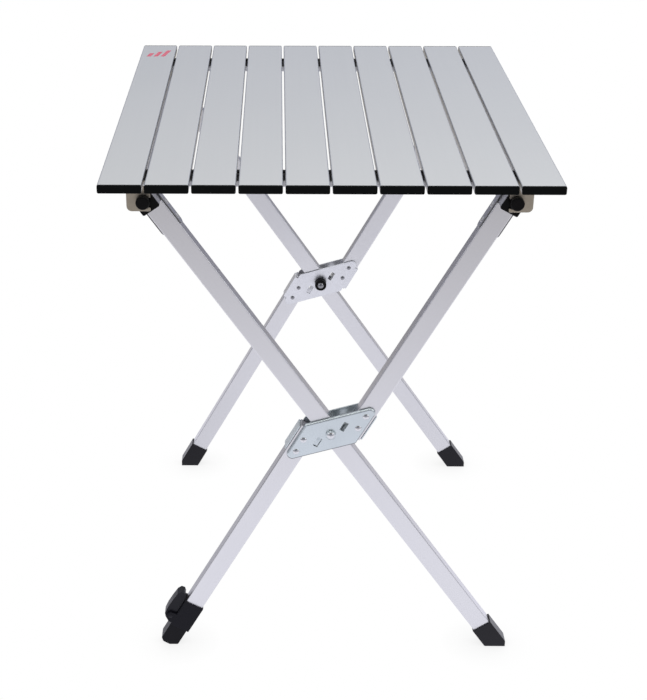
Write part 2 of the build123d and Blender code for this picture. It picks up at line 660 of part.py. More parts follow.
def lock_lever():
    """Cam lever with a thumb tab, between the lugs of the socket."""
    near_y, far_y = socket_span()
    gap = LUG_THICKNESS + LEVER_SIDE_GAP
    outline = make_face(Polyline(*LEVER_OUTLINE, close=True))
    upper = [v for v in outline.vertices() if v.Y > LEVER_S + LEVER_BARREL]
    outline = fillet(upper, LEVER_ROUND)
    outline += Pos(LEVER_N, LEVER_S) * Circle(LEVER_BARREL)
    lever = prism(outline, near_y + gap, far_y - gap)
    return lever - rod_y(LEVER_N, LEVER_S, LEVER_PIN_RADIUS + LEVER_PIN_CLEARANCE, near_y, far_y)


def lever_pin():
    near_y, far_y = socket_span()
    head = (LEVER_PIN_HEAD, LEVER_PIN_RISE)
    return through_rivet(LEVER_N, LEVER_S, LEVER_PIN_RADIUS, head, head, near_y - FIT, far_y + FIT)


def build_top():
    for index in range(SLAT_COUNT):
        save(slat(index), f"slat_{index + 1:02d}")
        save(slat_caps(index), f"slat_caps_{index + 1:02d}")
    front_rail = rail()
    save(front_rail, "rail_front")
    save(to_back(front_rail), "rail_back")
    right = hook_plate()
    left = mirror(right, about=Plane.YZ)
    save(right, "hook_plate_front_right")
    save(left, "hook_plate_front_left")
    save(to_back(right), "hook_plate_back_right")
    save(to_back(left), "hook_plate_back_left")
    save(hook_plate_rivets(), "hook_plate_rivets")


def build_frame_a():
    centre = PIN_ALONG_A - CROSSBAR_DROP
    save(LEG_A * crossbar(0, centre), "crossbar_left")
    save(group([LEG_A * crossbar_plugs(0, centre)]), "crossbar_plugs_left")
    save(hook_pins(-PIN_X), "hook_pins_left")
    leg = leg_a()
    along = stud_along(-LEG_WIDTH / 2, -ANGLE_A)
    front = LEG_A * (leg - stud_hole(-LEG_WIDTH / 2, along))
    save(front, "leg_a_front")
    save(LEG_A * to_back(leg), "leg_a_back")
    save(LEG_A * stud(-LEG_WIDTH / 2, along, -1), "side_stud_a")
    strap = LEG_A * saddle(0, PIN_ALONG_A)
    save(group([strap, to_back(strap)]), "saddles_left")
    save(group([LEG_A * rivet for rivet in leg_rivets(0, PIN_ALONG_A)]), "saddle_rivets_left")
    cap = foot_cap(LEG_A, 0, FLOOR_ALONG_A, 1)
    save(cap, "foot_cap_front_right")
    save(to_back(cap), "foot_cap_back_right")


def build_frame_b():
    centre = PIN_ALONG_B - CROSSBAR_DROP
    save(LEG_B * crossbar(B_OFFSET, centre), "crossbar_right")
    save(group([LEG_B * crossbar_plugs(B_OFFSET, centre)]), "crossbar_plugs_right")
    save(hook_pins(PIN_X), "hook_pins_right")
    upper = leg_b_upper()
    face_n = B_OFFSET + LEG_WIDTH / 2
    along = stud_along(face_n, ANGLE_B)
    save(LEG_B * (upper - stud_hole(face_n, along)), "leg_b_front_upper")
    save(LEG_B * to_back(upper), "leg_b_back_upper")
    save(LEG_B * stud(face_n, along, 1), "side_stud_b")
    save(group(tube_plugs()), "tube_plugs_b")
    save(LEG_B * leg_b_lower(SOCKET_TUBE_STOP), "leg_b_front_lower")
    save(LEG_B * to_back(leg_b_lower(FOOT_CAP_SOLE)), "leg_b_back_lower")
    strap = LEG_B * saddle(B_OFFSET, PIN_ALONG_B)
    save(group([strap, to_back(strap)]), "saddles_right")
    rivets = [LEG_B * rivet for rivet in leg_rivets(B_OFFSET, PIN_ALONG_B)]
    save(group(rivets), "saddle_rivets_right")
    save(to_back(foot_cap(LEG_B, -B_OFFSET, FLOOR_ALONG_B, -1)), "foot_cap_back_left")


def build_brackets():
    outer = LEG_B * outer_bracket()
    inner = LEG_B * inner_bracket()
    save(outer, "bracket_front_outer")
    save(to_back(outer), "bracket_back_outer")
    save(inner, "bracket_front_inner")
    save(to_back(inner), "bracket_back_inner")
    save(bracket_rivets(), "bracket_rivets")
    save(pivot_pins(), "pivot_pins")
    save(pivot_bumpers(), "pivot_bumpers")


def build_levelling_foot():
    place = LEG_B * Pos(-B_OFFSET, 0, FLOOR_ALONG_B)
    save(place * levelling_socket(), "levelling_socket")
    save(place * levelling_foot(), "levelling_foot")
    save(place * lock_lever(), "lock_lever")
    save(place * lever_pin(), "lever_pin")


os.makedirs("parts", exist_ok=True)
build_top()
build_frame_a()
build_frame_b()
build_brackets()
build_levelling_foot()
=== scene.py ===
import bpy
import json
from math import atan2, cos, pi, radians, sin
from mathutils import Matrix, Vector


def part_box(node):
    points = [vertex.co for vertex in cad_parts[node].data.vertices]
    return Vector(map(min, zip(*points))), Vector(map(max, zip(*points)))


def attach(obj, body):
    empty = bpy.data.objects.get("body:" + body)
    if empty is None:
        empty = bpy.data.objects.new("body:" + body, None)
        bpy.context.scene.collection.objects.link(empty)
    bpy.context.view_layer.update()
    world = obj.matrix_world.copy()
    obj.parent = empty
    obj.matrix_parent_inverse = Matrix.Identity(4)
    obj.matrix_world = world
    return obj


# Looks of the folding side table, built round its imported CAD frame. Metres, same frame as the CAD.
# Noise scales are in cycles per metre. Colours are linear.

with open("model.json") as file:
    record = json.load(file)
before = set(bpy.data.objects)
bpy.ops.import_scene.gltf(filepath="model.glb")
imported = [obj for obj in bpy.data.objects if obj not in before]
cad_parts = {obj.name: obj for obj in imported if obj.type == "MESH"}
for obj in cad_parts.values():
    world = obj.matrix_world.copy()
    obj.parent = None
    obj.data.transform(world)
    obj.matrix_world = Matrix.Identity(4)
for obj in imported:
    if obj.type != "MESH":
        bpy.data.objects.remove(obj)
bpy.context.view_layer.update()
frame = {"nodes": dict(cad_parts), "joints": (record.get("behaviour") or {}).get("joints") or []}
NODES = frame["nodes"]
JOINTS = {joint["name"]: joint for joint in frame["joints"]}


# ---------------------------------------------------------------- node helpers

MIDDLE = 0.5


class Tree:
    """Builds a node tree one node at a time."""

    def __init__(self, tree):
        self.tree = tree
        self.tree.nodes.clear()

    def put(self, socket, value):
        if isinstance(value, bpy.types.NodeSocket):
            self.tree.links.new(value, socket)
        else:
            socket.default_value = value

    def add(self, kind, inputs=None, output=0, **settings):
        """Adds a node, fills its inputs with values or links, and returns one output socket."""
        node = self.tree.nodes.new("ShaderNode" + kind)
        for key, value in settings.items():
            setattr(node, key, value)
        for key, value in (inputs or {}).items():
            self.put(node.inputs[key], value)
        return node.outputs[output] if len(node.outputs) else node

    def math(self, operation, a, b=0.0):
        return self.add("Math", {0: a, 1: b}, operation=operation)

    def total(self, first, *rest):
        for value in rest:
            first = self.math("ADD", first, value)
        return first

    def swing(self, value, size):
        """Turns a value from 0 to 1 into a swing of that size about zero."""
        return self.math("MULTIPLY", self.math("SUBTRACT", value, MIDDLE), size)

    def remap(self, value, low, high, to_low=0.0, to_high=1.0):
        """Clamped linear change of range."""
        inputs = {"Value": value, "From Min": low, "From Max": high,
                  "To Min": to_low, "To Max": to_high}
        return self.add("MapRange", inputs)

    def blend(self, share, a, b):
        """Mix of two colours."""
        return self.add("Mix", {"Factor": share, 6: a, 7: b}, output=2, data_type="RGBA")

    def noise(self, vector, scale, detail=2.0, rough=0.5):
        inputs = {"Vector": vector, "Scale": scale, "Detail": detail, "Roughness": rough}
        return self.add("TexNoise", inputs)

    def stretched(self, vector, scales, detail, rough=0.5):
        """Noise with a scale of its own along each axis."""
        spread = self.add("Mapping", {"Vector": vector, "Scale": scales})
        return self.noise(spread, 1.0, detail, rough)

    def place(self):
        """Position on the piece, which is its position in the frame at rest."""
        return self.add("TexCoord", output="Object")

    def part(self, vector, axis):
        """One component of a vector."""
        return self.add("SeparateXYZ", {"Vector": vector}, output=axis)

    def facing(self, axis):
        """How far the surface looks along an axis, from -1 to 1."""
        return self.part(self.add("NewGeometry", output="Normal"), axis)


def rgb(r, g, b):
    return (r, g, b, 1.0)


def tinted(colour, factor):
    """Colour times a factor, no channel above 1."""
    return rgb(*[min(1.0, channel * factor) for channel in colour])


def new_material(name):
    material = bpy.data.materials.new(name)
    material.use_nodes = True
    return material, Tree(material.node_tree)


def finish_material(t, inputs):
    shader = t.add("BsdfPrincipled", inputs)
    t.add("OutputMaterial", {"Surface": shader})


BEVEL_SAMPLES = 4
# Cosine between the rounded and the true normal where an edge begins and where it is full.
EDGE_BEGINS, EDGE_FULL = 0.995, 0.86


def edge_mask(t, radius):
    """Rounded normal and a mask that is 1 along the edges."""
    bevel = t.add("Bevel", {"Radius": radius}, samples=BEVEL_SAMPLES)
    normal = t.add("NewGeometry", output="Normal")
    closeness = t.add("VectorMath", {0: bevel, 1: normal}, output="Value", operation="DOT_PRODUCT")
    return bevel, t.remap(closeness, EDGE_BEGINS, EDGE_FULL)


# ---------------------------------------------------------------- metals

# Metals swing between these shares of their base colour.
DARK_TONE, LIGHT_TONE = 0.5, 1.5

# Die lines of an extrusion, along its length and across it.
FINE_LINES = (3.0, 420.0)
BROAD_LINES = (1.2, 90.0)
FINE_TONE = 1.4
FINE_ROUGHNESS = 1.6
SPECK_SCALE = 120.0
SPECK_HEIGHT = 0.35
LINE_DEPTH = 0.0001
BLOOM_SCALE = 6.0
RUBBED_EDGE = rgb(0.93, 0.93, 0.94)
RUBBED_SHARE = 0.35
RUBBED_POLISH = 0.02
# A leg face is broad where its normal is nearly along Y, and narrow where it isn't; narrow faces get
# a painted shade.
BROAD_FACE, NARROW_FACE = 0.85, 0.4

# Painted shade: rail tops, shadowed in the gaps between the slats, are painted black and matte.
TOP_SHADE_BLACK = rgb(0.006, 0.006, 0.007)
TOP_SHADE_FACING = (0.6, 0.9)
TOP_SHADE_ROUGHNESS = 0.4


def line_scales(axis, lines):
    """Noise scales that draw lines along an axis."""
    along, across = lines
    return tuple(along if letter == axis else across for letter in "XYZ")


def extruded(name, colour, roughness, turn=0.0, axis="X", streak=0.03, cloud=0.04, edge=0.0005,
             painted_top_shade=False, side_shade=1.0):
    """Anodised aluminium with die lines along its length; turn tilts the length in the XZ plane.

    Faces that look up can be painted black, a painted shade for a rail top shadowed under the slats.
    The narrow faces of a leg can be painted darker, a painted shade for the sides turned from the
    light.
    """
    material, t = new_material(name)
    place = t.add("VectorRotate", {"Vector": t.place(), "Axis": (0, 1, 0), "Angle": turn})
    fine = t.stretched(place, line_scales(axis, FINE_LINES), detail=1.0)
    broad = t.stretched(place, line_scales(axis, BROAD_LINES), detail=2.0)
    bloom = t.noise(place, BLOOM_SCALE)
    speck = t.noise(place, SPECK_SCALE, detail=1.0)
    bevel, edges = edge_mask(t, edge)
    shade = t.total(t.swing(fine, streak * FINE_TONE), t.swing(broad, streak), t.swing(bloom, cloud),
                    MIDDLE)
    tone = t.blend(shade, tinted(colour, DARK_TONE), tinted(colour, LIGHT_TONE))
    tone = t.blend(t.math("MULTIPLY", edges, RUBBED_SHARE), tone, RUBBED_EDGE)
    # Painted shade: the narrow faces of a leg are painted darker.
    if side_shade < 1.0:
        painted_side_shade = t.remap(t.math("ABSOLUTE", t.facing("Y")), BROAD_FACE, NARROW_FACE)
        tone = t.blend(painted_side_shade, tone, tinted(colour, side_shade))
    rough = t.total(t.swing(fine, streak * FINE_ROUGHNESS), roughness, t.swing(speck, streak))
    rough = t.math("SUBTRACT", rough, t.math("MULTIPLY", edges, RUBBED_POLISH))
    height = t.total(fine, t.math("MULTIPLY", speck, SPECK_HEIGHT))
    normal = t.add("Bump", {"Strength": streak, "Distance": LINE_DEPTH, "Height": height,
                            "Normal": bevel})
    metal = 1.0
    # Painted shade: faces that look up turn black and matte, for a rail top shadowed under the slats.
    if painted_top_shade:
        share = t.remap(t.facing("Z"), *TOP_SHADE_FACING)
        tone = t.blend(share, tone, TOP_SHADE_BLACK)
        metal = t.math("SUBTRACT", 1.0, share)
        rough = t.total(rough, t.math("MULTIPLY", share, TOP_SHADE_ROUGHNESS))
    finish_material(t, {"Base Color": tone, "Metallic": metal, "Roughness": rough, "Normal": normal})
    return material


SPANGLE_SCALE = 230.0
SPANGLE_ROUGHNESS = 0.10
GRIT_SCALE = 1500.0
GRIT_ROUGHNESS = 0.12
STAIN_SCALE = 28.0
STAIN_TONE = 0.12
STAIN_HEIGHT = 2.0
PLATE_BUMP = 0.10
PLATE_DEPTH = 0.0002
WORN_PLATE = rgb(0.92, 0.93, 0.95)
WORN_SHARE = 0.3

# Painted shade: steel between the plates of a crossing is painted dark, and so are cut or hidden
# faces.
INNER_SHADE = rgb(0.16, 0.16, 0.17)
INNER_SHARE = 0.8
INNER_STEP = 0.001
SHADED_STEEL = rgb(0.07, 0.07, 0.068)
SHADED_SHARE = 0.85
SHADED_FACING = {"Z": (0.08, 0.40), "Y": (0.35, 0.80)}


def plated(name, colour, roughness, spangle=0.06, edge=0.0006, shade_axis=None, shade_within=0.0):
    """Zinc-plated or plain steel with a faint spangle and brighter worn edges.

    The axis of painted shade: "Z" darkens the faces that look down, "Y" the cut faces that look to
    front and back.
    The depth of painted shade: whatever is nearer than that to the middle of the table along Y is
    painted dark.
    """
    material, t = new_material(name)
    place = t.place()
    cells = t.add("TexVoronoi", {"Vector": place, "Scale": SPANGLE_SCALE}, output="Color")
    grains = t.add("SeparateColor", {"Color": cells})
    grit = t.noise(place, GRIT_SCALE, detail=3.0, rough=0.6)
    stains = t.noise(place, STAIN_SCALE, detail=3.0)
    bevel, edges = edge_mask(t, edge)
    shade = t.total(t.swing(grains, spangle), t.swing(stains, STAIN_TONE), MIDDLE)
    tone = t.blend(shade, tinted(colour, DARK_TONE), tinted(colour, LIGHT_TONE))
    tone = t.blend(t.math("MULTIPLY", edges, WORN_SHARE), tone, WORN_PLATE)
    # Painted shade on steel deeper into the table than the given depth, between the plates.
    if shade_within:
        depth = t.math("ABSOLUTE", t.part(place, "Y"))
        inner = t.remap(depth, shade_within, shade_within - INNER_STEP, 0.0, INNER_SHARE)
        tone = t.blend(inner, tone, INNER_SHADE)
    # Painted shade on faces that look down, or on cut faces that look to front and back.
    if shade_axis:
        facing = t.facing(shade_axis)
        facing = t.math("MULTIPLY", facing, -1.0) if shade_axis == "Z" else t.math("ABSOLUTE", facing)
        shaded = t.remap(facing, *SHADED_FACING[shade_axis], 0.0, SHADED_SHARE)
        tone = t.blend(shaded, tone, SHADED_STEEL)
    rough = t.total(t.swing(grains, SPANGLE_ROUGHNESS), roughness, t.swing(grit, GRIT_ROUGHNESS))
    height = t.total(grit, t.math("MULTIPLY", stains, STAIN_HEIGHT))
    normal = t.add("Bump", {"Strength": PLATE_BUMP, "Distance": PLATE_DEPTH, "Height": height,
                            "Normal": bevel})
    finish_material(t, {"Base Color": tone, "Metallic": 1.0, "Roughness": rough, "Normal": normal})
    return material


# ---------------------------------------------------------------- plastic, ink and cord

MOULD_GRAIN_SCALE = 1500.0
MOULD_BUMP = 0.22
MOULD_DEPTH = 0.00012
PATCH_SCALE = 35.0
PATCH_TONES = (0.75, 1.3)
PATCH_ROUGHNESS = 0.18
PATCH_WEAR = (0.35, 0.65)
LEAST_WEAR = 0.4
SCUFF_SCALES = (90.0, 420.0, 900.0)
SCUFF_RANGE = (0.62, 0.78)
SCUFF_LEVEL = 0.5
SCUFF_TONE = 0.35
SCUFF_ROUGHNESS = 0.15


def moulded(name, colour, roughness, gloss=0.25, edge=0.0005, wear=0.25, worn=(0.09, 0.09, 0.10)):
    """Moulded plastic with a fine grain, slight scuffs and paler edges."""
    material, t = new_material(name)
    place = t.place()
    grain = t.add("TexVoronoi", {"Vector": place, "Scale": MOULD_GRAIN_SCALE}, feature="SMOOTH_F1")
    patches = t.noise(place, PATCH_SCALE, detail=3.0)
    scuffs = t.stretched(place, SCUFF_SCALES, detail=4.0, rough=0.7)
    bevel, edges = edge_mask(t, edge)
    rubbed = t.math("MULTIPLY", edges, t.remap(patches, *PATCH_WEAR, wear * LEAST_WEAR, wear))
    scuff = t.remap(scuffs, *SCUFF_RANGE, 0.0, SCUFF_LEVEL)
    dark, light = PATCH_TONES
    tone = t.blend(patches, tinted(colour, dark), tinted(colour, light))
    tone = t.blend(t.math("MULTIPLY", scuff, SCUFF_TONE), tone, rgb(*worn))
    tone = t.blend(rubbed, tone, rgb(*worn))
    rough = t.total(t.swing(patches, PATCH_ROUGHNESS), roughness,
                    t.math("MULTIPLY", scuff, SCUFF_ROUGHNESS))
    normal = t.add("Bump", {"Strength": MOULD_BUMP, "Distance": MOULD_DEPTH, "Height": grain,
                            "Normal": bevel})
    finish_material(t, {"Base Color": tone, "Roughness": rough, "Normal": normal,
                        "Specular IOR Level": gloss})
    return material


INK_WEAR_SCALE = 260.0
INK_WEAR_RANGE = (0.52, 0.72)
INK_WEAR_SHARE = 0.55
INK_UNDER = rgb(0.66, 0.62, 0.64)
INK_METAL = 0.2
INK_ROUGHNESS = (0.35, 0.6)
INK_BUMP = 0.1
INK_DEPTH = 0.0001


def painted(name, colour):
    """Thin printed ink, slightly worn so that the metal shows through."""
    material, t = new_material(name)
    wear = t.noise(t.place(), INK_WEAR_SCALE, detail=4.0, rough=0.7)
    share = t.remap(wear, *INK_WEAR_RANGE, 0.0, INK_WEAR_SHARE)
    tone = t.blend(share, rgb(*colour), INK_UNDER)
    normal = t.add("Bump", {"Strength": INK_BUMP, "Distance": INK_DEPTH, "Height": wear})
    finish_material(t, {"Base Color": tone, "Roughness": t.remap(wear, 0.0, 1.0, *INK_ROUGHNESS),
                        "Metallic": INK_METAL, "Normal": normal})
    return material


BRAID_SCALE = 260.0
BRAID_DISTORTION = 3.0
BRAID_TONES = (0.5, 1.6)
BRAID_BUMP = 0.5
BRAID_DEPTH = 0.0003
BRAID_ROUGHNESS = 0.85


def woven(name, colour):
    """Braided elastic cord."""
    material, t = new_material(name)
    braid = t.add("TexWave", {"Vector": t.place(), "Scale": BRAID_SCALE, "Detail": 2.0,
                              "Distortion": BRAID_DISTORTION}, output="Fac",
                  bands_direction="DIAGONAL")
    dark, light = BRAID_TONES
    tone = t.blend(braid, tinted(colour, dark), tinted(colour, light))
    normal = t.add("Bump", {"Strength": BRAID_BUMP, "Distance": BRAID_DEPTH, "Height": braid})
    finish_material(t, {"Base Color": tone, "Roughness": BRAID_ROUGHNESS, "Normal": normal})
    return material


# ---------------------------------------------------------------- finishes of the CAD nodes

LEG_A_COLOUR = (0.725, 0.72, 0.745)
LEG_B_COLOUR = (0.715, 0.71, 0.735)
LEG_ROUGHNESS = 0.34
ZINC_ROUGHNESS = 0.36


def leg_turns():
    """Angles that turn each frame's length upright, from the pivot, the pins and the foot's slide."""
    pivot = Vector(JOINTS["fold_a"]["pos_m"])
    low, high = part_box("hook_pins_left")
    pin = (low + high) / 2
    slide = Vector(JOINTS["foot_adjust"]["axis"])
    return atan2(pin.x - pivot.x, pin.z - pivot.z), atan2(-slide.x, -slide.z)


def slat_finishes():
    slat = extruded("satin_slat", (0.714, 0.726, 0.731), 0.30, axis="Y", streak=0.016, cloud=0.03)
    # The rail tops get a painted black shade, for the shadow under the slat gaps.
    rail = extruded("rail_finish", (0.50, 0.505, 0.52), 0.40, streak=0.08, painted_top_shade=True)
    cap = moulded("slat_cap_black", (0.0025, 0.003, 0.003), 0.45, gloss=0.06, wear=0.06)
    return [("slat_caps_", cap), ("slat_", slat), ("rail_", rail)]


def tube_finishes():
    turn_a, turn_b = leg_turns()
    leg_a = extruded("leg_a_finish", LEG_A_COLOUR, LEG_ROUGHNESS, -turn_a, "Z", side_shade=0.95)
    leg_b = extruded("leg_b_finish", LEG_B_COLOUR, LEG_ROUGHNESS, -turn_b, "Z", side_shade=0.90)
    # Painted shade: a copy of leg B's finish whose narrow faces are painted much darker.
    front = extruded("leg_b_front_painted_shade", LEG_B_COLOUR, LEG_ROUGHNESS, -turn_b, "Z", side_shade=0.62)
    bar = extruded("crossbar_finish", (0.72, 0.715, 0.76), LEG_ROUGHNESS, axis="Y")
    knob = moulded("knob_black", (0.003, 0.0025, 0.0025), 0.38, gloss=0.10)
    plug = moulded("pale_tube_plug", (0.42, 0.42, 0.45), 0.45, gloss=0.3, worn=(0.5, 0.5, 0.52))
    return [("leg_a_", leg_a), ("leg_b_front_lower", front), ("leg_b_", leg_b),
            ("crossbar_plugs_", knob), ("crossbar_", bar), ("hook_pins_", knob),
            ("pivot_bumpers", knob), ("tube_plugs_", plug)]


def steel_finishes():
    # Painted shade on the brackets' downward faces and on the straps' cut faces.
    zinc = plated("zinc_plate", (0.60, 0.655, 0.685), ZINC_ROUGHNESS, shade_axis="Z")
    # Painted light: the back brackets are the same zinc as the front ones, painted paler and bluer
    # for the light they catch.
    painted_light_zinc = plated("zinc_plate_painted_light", (0.90, 0.93, 1.0), ZINC_ROUGHNESS, spangle=0.07, shade_axis="Z")
    strap = plated("bright_strap", (0.70, 0.71, 0.76), 0.24, spangle=0.04, shade_axis="Y")
    hook = plated("dull_hook_steel", (0.39, 0.348, 0.275), 0.46, spangle=0.10)
    # Painted shade: rivet steel nearer the middle than the legs' inner faces is painted dark.
    inside = -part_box("leg_b_front_upper")[1].y
    rivet = plated("rivet_head", (0.66, 0.67, 0.71), 0.13, spangle=0.02, edge=0.0003,
                   shade_within=inside)
    return [("hook_plate_rivets", rivet), ("hook_plate_", hook), ("saddle_rivets_", rivet),
            ("saddles_", strap), ("side_stud_", rivet), ("bracket_rivets", rivet),
            ("bracket_back_", painted_light_zinc), ("bracket_", zinc), ("pivot_pins", rivet)]


def foot_finishes():
    foot = moulded("foot_black", (0.007, 0.0065, 0.009), 0.26, gloss=0.22)
    socket = moulded("socket_grey_black", (0.005, 0.005, 0.008), 0.42, gloss=0.12)
    tread = moulded("tread_black", (0.0035, 0.0035, 0.005), 0.34, gloss=0.12)
    lever = moulded("lever_grey_black", (0.007, 0.007, 0.010), 0.36, gloss=0.18)
    return [("foot_cap_", foot), ("levelling_socket", socket), ("levelling_foot", tread),
            ("lock_lever", lever), ("lever_pin", lever)]


def dress():
    """Gives every CAD node the first finish whose start its name matches."""
    finishes = slat_finishes() + tube_finishes() + steel_finishes() + foot_finishes()
    for name, node in NODES.items():
        material = next(finish for start, finish in finishes if name.startswith(start))
        slot = node.material_slots[0]
        slot.link = "OBJECT"
        slot.material = material


# ---------------------------------------------------------------- added pieces

CORD_RADIUS = 0.0019
CORD_BITE = 0.0002
CORD_RIPPLE = 0.08
CORD_RINGS = 5
CORD_SIDES = 20

# The mark: stripes printed near the far end of the first slat, each longer than the one before.
MARK_LENGTHS = (0.018, 0.026, 0.034)
MARK_WIDTH = 0.0062
MARK_PITCH = 0.0104
MARK_FROM_SIDE = 0.009
MARK_FROM_END = 0.062
MARK_LEAN = 0.22
INK_BOTTOM, INK_TOP = 0.00002, 0.00008


def slat_names():
    """Names of the slats from left to right."""
    return sorted(name for name in NODES if name.startswith("slat_") and "caps" not in name)


def mesh_object(name, vertices, faces, material, body):
    """Adds a piece that rides on a body."""
    mesh = bpy.data.meshes.new(name)
    mesh.from_pydata(vertices, [], faces)
    mesh.materials.append(material)
    piece = bpy.data.objects.new(name, mesh)
    bpy.context.scene.collection.objects.link(piece)
    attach(piece, body)
    return piece


def cord_mesh(centre, length):
    """Vertices and faces of a closed round cord along X, with a slight ripple."""
    vertices, faces = [], []
    for ring in range(CORD_RINGS):
        x = centre[0] - length / 2 + length * ring / (CORD_RINGS - 1)
        radius = CORD_RADIUS * (1 + (CORD_RIPPLE if ring % 2 else 0.0))
        for side in range(CORD_SIDES):
            angle = 2 * pi * side / CORD_SIDES
            vertices.append((x, centre[1] + radius * cos(angle), centre[2] + radius * sin(angle)))
    for ring in range(CORD_RINGS - 1):
        base = ring * CORD_SIDES
        for side in range(CORD_SIDES):
            after = (side + 1) % CORD_SIDES
            faces.append((base + side, base + after, base + CORD_SIDES + after,
                          base + CORD_SIDES + side))
    faces.append(tuple(range(CORD_SIDES - 1, -1, -1)))
    faces.append(tuple((CORD_RINGS - 1) * CORD_SIDES + side for side in range(CORD_SIDES)))
    return vertices, faces


def add_cord(name, centre, gap, material, body):
    """One stretch of cord, just long enough to reach into the slats on both sides of its gap."""
    vertices, faces = cord_mesh(centre, gap + CORD_BITE)
    piece = mesh_object(name, vertices, faces, material, body)
    for polygon in piece.data.polygons:
        polygon.use_smooth = len(polygon.vertices) == 4


def add_cords(material):
    """Elastic cords that cross the gaps between the slats, over each rail."""
    slats = slat_names()
    for index in range(1, len(slats)):
        near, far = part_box(slats[index - 1]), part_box(slats[index])
        gap = far[0].x - near[1].x
        x = (far[0].x + near[1].x) / 2
        z = (far[0].z + far[1].z) / 2
        number = slats[index][-2:]
        for side in ("front", "back"):
            low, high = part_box("rail_" + side)
            y = (low.y + high.y) / 2
            add_cord(f"cord_{side}_{number}", (x, y, z), gap, material, "slat_body_" + number)


def bar_mesh(outline, z0, z1):
    """Prism over a flat outline in X and Y."""
    count = len(outline)
    vertices = [(x, y, z0) for x, y in outline] + [(x, y, z1) for x, y in outline]
    faces = [tuple(range(count - 1, -1, -1)), tuple(range(count, 2 * count))]
    faces += [(i, (i + 1) % count, count + (i + 1) % count, count + i) for i in range(count)]
    return vertices, faces


def add_mark(material):
    """Plain mark of three slanted stripes printed at the far end of the first slat."""
    low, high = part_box("slat_01")
    for index, length in enumerate(MARK_LENGTHS):
        x0 = low.x + MARK_FROM_SIDE + index * MARK_PITCH
        x1 = x0 + MARK_WIDTH
        y0 = high.y - MARK_FROM_END
        y1 = y0 + length
        lean = MARK_LEAN * length
        outline = [(x0, y0), (x1, y0), (x1 + lean, y1), (x0 + lean, y1)]
        vertices, faces = bar_mesh(outline, high.z + INK_BOTTOM, high.z + INK_TOP)
        mesh_object(f"mark_bar_{index + 1}", vertices, faces, material, "top")


# ---------------------------------------------------------------- studio

# Colour of the studio from straight down (0) through the horizon (0.5) to straight up (1).
STUDIO_BANDS = (
    (0.0, rgb(0.41, 0.41, 0.425)),
    (0.44, rgb(0.245, 0.245, 0.28)),
    (0.53, rgb(0.20, 0.21, 0.28)),
    (0.60, rgb(0.30, 0.325, 0.43)),
    (0.64, rgb(0.52, 0.545, 0.62)),
    (0.68, rgb(0.80, 0.815, 0.82)),
    (0.76, rgb(0.97, 0.975, 0.965)),
    (1.0, rgb(0.95, 0.95, 0.95)),
)
# A dark screen behind and above the camera, faded in over these parts of the look direction.
SCREEN_FRONT = (0.15, 0.75)
SCREEN_HEIGHT = (0.16, 0.40)
SCREEN_SHARE = 0.85
SCREEN_COLOUR = rgb(0.05, 0.05, 0.055)
# The studio is brighter on the right than on the left.
SIDE_SPAN = 0.25
LEFT_STRENGTH, RIGHT_STRENGTH = 1.05, 1.25


def studio_ramp(t, height):
    """Colour of the studio at a height of the look direction."""
    ramp = t.tree.nodes.new("ShaderNodeValToRGB")
    t.put(ramp.inputs["Fac"], t.remap(height, -1.0, 1.0))
    elements = ramp.color_ramp.elements
    for element, (position, colour) in zip(elements, (STUDIO_BANDS[0], STUDIO_BANDS[-1])):
        element.position = position
        element.color = colour
    for position, colour in STUDIO_BANDS[1:-1]:
        elements.new(position).color = colour
    return ramp.outputs["Color"]


def set_world():
    """Even white for the camera; a softer studio for reflections and bounce light."""
    world = bpy.data.worlds.new("studio")
    bpy.context.scene.world = world
    world.use_nodes = True
    t = Tree(world.node_tree)
    back = t.add("NewGeometry", output="Incoming")  # points against the look direction
    height = t.math("MULTIPLY", t.part(back, "Z"), -1.0)
    front = t.remap(t.part(back, "Y"), *SCREEN_FRONT)
    above = t.remap(height, *SCREEN_HEIGHT)
    screen = t.math("MULTIPLY", t.math("MULTIPLY", front, above), SCREEN_SHARE)
    colour = t.blend(screen, studio_ramp(t, height), SCREEN_COLOUR)
    strength = t.remap(t.part(back, "X"), SIDE_SPAN, -SIDE_SPAN, LEFT_STRENGTH, RIGHT_STRENGTH)
    soft = t.add("Background", {"Color": colour, "Strength": strength})
    white = t.add("Background", {"Color": rgb(1.0, 1.0, 1.0), "Strength": 1.0})
    seen = t.add("LightPath", output="Is Camera Ray")
    t.add("OutputWorld", {"Surface": t.add("MixShader", {0: seen, 1: soft, 2: white})})


FLOOR_HALF = 3.5
FLOOR_DROP = 0.0005
# The floor glows in place of the light it would get from the lamps.
FLOOR_GLOW = 2.14
FLOOR_MOTTLE_SCALE = 3.0
FLOOR_NEAR = (rgb(0.475, 0.475, 0.525), rgb(0.505, 0.505, 0.55))
FLOOR_FAR = rgb(0.210, 0.199, 0.186)
# Painted pool of light: the floor darkens with the distance from a spot just in front of the table.
LIT_SPOT = (0.0, -0.30, 0.0)
LIT_FADE = (0.45, 2.6)
# Two painted soft shadows, one left of the table and one under it: middle, fade, share at full depth.
SHADOW_COLOUR = rgb(0.16, 0.16, 0.17)
SHADOWS = (
    ((-0.52, 0.04, 0.0), (0.10, 0.40), 0.45),
    ((0.0, 0.06, 0.0), (0.16, 0.42), 0.16),
)
CONTACT_REACH = 0.05
CONTACT_SAMPLES = 8
CONTACT_RANGE = (0.35, 1.0)
CONTACT_SHADE = (0.86, 1.0)


def distance_from(t, place, point):
    """Distance of the shaded spot from a point on the floor."""
    shift = tuple(-value for value in point)
    return t.add("VectorMath", {0: t.add("Mapping", {"Vector": place, "Location": shift})},
                 output="Value", operation="LENGTH")


